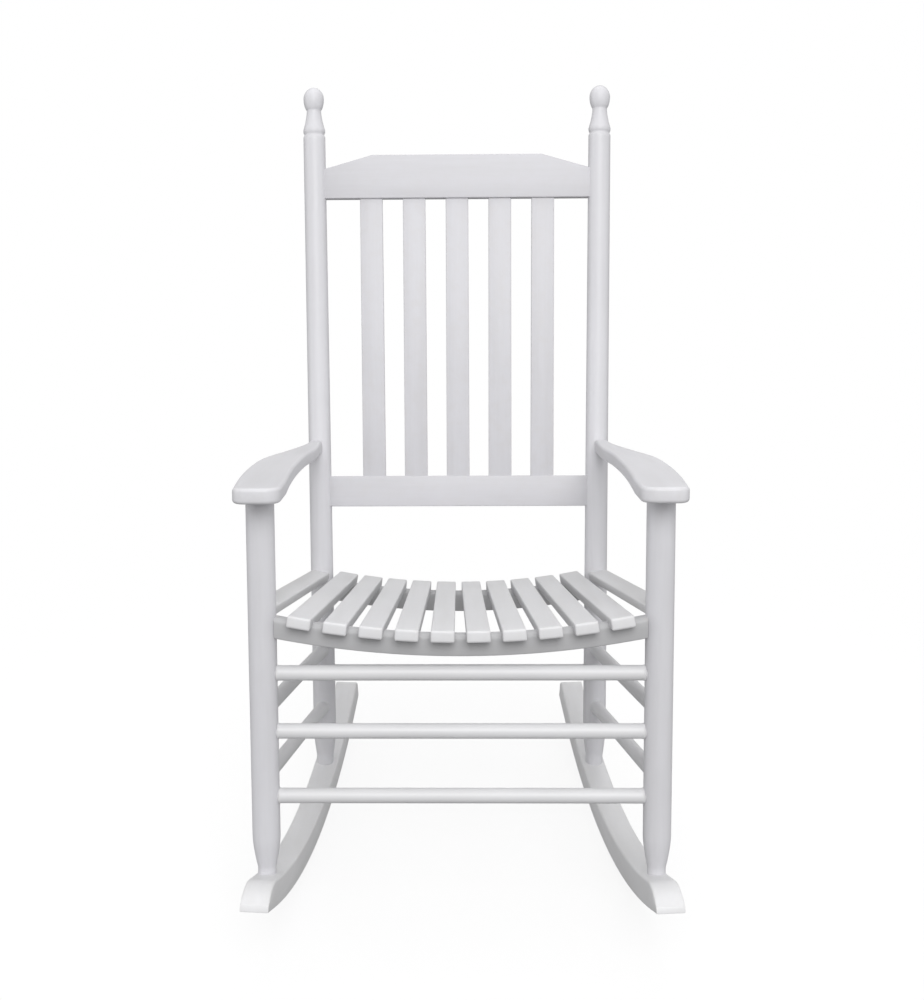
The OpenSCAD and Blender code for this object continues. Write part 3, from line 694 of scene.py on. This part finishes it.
def arm_outer(y):
    """Where the arm's outer edge runs: a slight swell, then a sweep in to the post."""
    swell = 9.5 * math.sin(math.pi * share(y, -arm_overhang, 420))
    sweep = (arm_rear_outer - arm_front_outer) * eased(share(y, 248, 288))
    return arm_front_outer + sweep + swell


def arm_inner(y):
    """Where the arm's inner edge runs: nearly straight, with a shallow waist."""
    waist = 6 * math.sin(math.pi * share(y, 20, 400))
    sweep = (arm_rear_inner - arm_front_inner) * eased(share(y, 330, 120))
    return arm_front_inner + sweep + waist


# The outline goes back along the outer edge, forward along the inner one, and round the two
# front corners.
start = inner_round - arm_overhang
stations = [start + (arm_rear - start) * i / 56 for i in range(57)]
arm_outline = [(arm_outer(y), y) for y in stations]
arm_outline += [(arm_inner(y), y) for y in reversed(stations)]
for round_r, x, first in (
    (inner_round, arm_inner(start) + inner_round, 180),
    (outer_round, arm_outer(start) - outer_round, 270),
):
    for i in range(1, 10):
        a = math.radians(first + 90 * i / 9)
        y = round_r - arm_overhang + round_r * math.sin(a)
        arm_outline.append((x + round_r * math.cos(a), y))

for side, hand in ((-1, "left"), (1, "right")):
    arm = thick_board([(x, y, -arm_thick) for x, y in arm_outline], (0, 0, arm_thick))
    level_edges = [e for e in arm.edges if abs(e.verts[0].co.z - e.verts[1].co.z) < 1]
    rims = [e for e in level_edges if any(len(f.verts) > 8 for f in e.link_faces)]
    bmesh.ops.bevel(arm, geom=rims, offset=5.0, offset_type="OFFSET", affect="EDGES",
                    segments=5, profile=0.5, material=-1, clamp_overlap=True)
    flats = [f for f in arm.faces if len(f.verts) > 8]
    bmesh.ops.inset_individual(arm, faces=flats, thickness=2.0, use_even_offset=True)
    bmesh.ops.transform(arm, matrix=arm_slope, verts=arm.verts)
    if side < 0:
        bmesh.ops.scale(arm, vec=(-1, 1, 1), verts=arm.verts)
    finish_piece(arm, f"{hand}_arm_paddle", f"{hand}_arm", arm_white)


# ---------------------------------------------------------------- screws and pins
# Zinc plated steel screws, driven from below and from behind, and plated pins through the
# tenons of the back rails. Their own solids stay as they are, and take a dull plated finish.
zinc = bpy.data.materials.new("zinc_plate")
zinc.use_nodes = True
zinc_shader = zinc.node_tree.nodes["Principled BSDF"]
zinc_shader.inputs["Metallic"].default_value = 1.0
zinc_place = zinc.node_tree.nodes.new("ShaderNodeTexCoord")
zinc_spangle = zinc.node_tree.nodes.new("ShaderNodeTexVoronoi")
zinc_spangle.inputs["Scale"].default_value = 420
zinc_tone = zinc.node_tree.nodes.new("ShaderNodeValToRGB")
zinc_tone.color_ramp.elements[0].color = (0.50, 0.51, 0.53, 1)
zinc_tone.color_ramp.elements[1].color = (0.66, 0.67, 0.69, 1)
zinc_gloss = zinc.node_tree.nodes.new("ShaderNodeMapRange")
zinc_gloss.inputs["To Min"].default_value = 0.30
zinc_gloss.inputs["To Max"].default_value = 0.48
zinc.node_tree.links.new(zinc_place.outputs["Object"], zinc_spangle.inputs["Vector"])
zinc.node_tree.links.new(zinc_spangle.outputs["Distance"], zinc_tone.inputs["Fac"])
zinc.node_tree.links.new(zinc_tone.outputs["Color"], zinc_shader.inputs["Base Color"])
zinc.node_tree.links.new(zinc_spangle.outputs["Distance"], zinc_gloss.inputs["Value"])
zinc.node_tree.links.new(zinc_gloss.outputs["Result"], zinc_shader.inputs["Roughness"])
screws = ("seat_screws_front", "seat_screws_rear", "rocker_screws", "arm_screws")
for name in (*screws, "back_rail_pins"):
    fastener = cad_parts[name]
    for place in fastener.material_slots:
        place.material = zinc
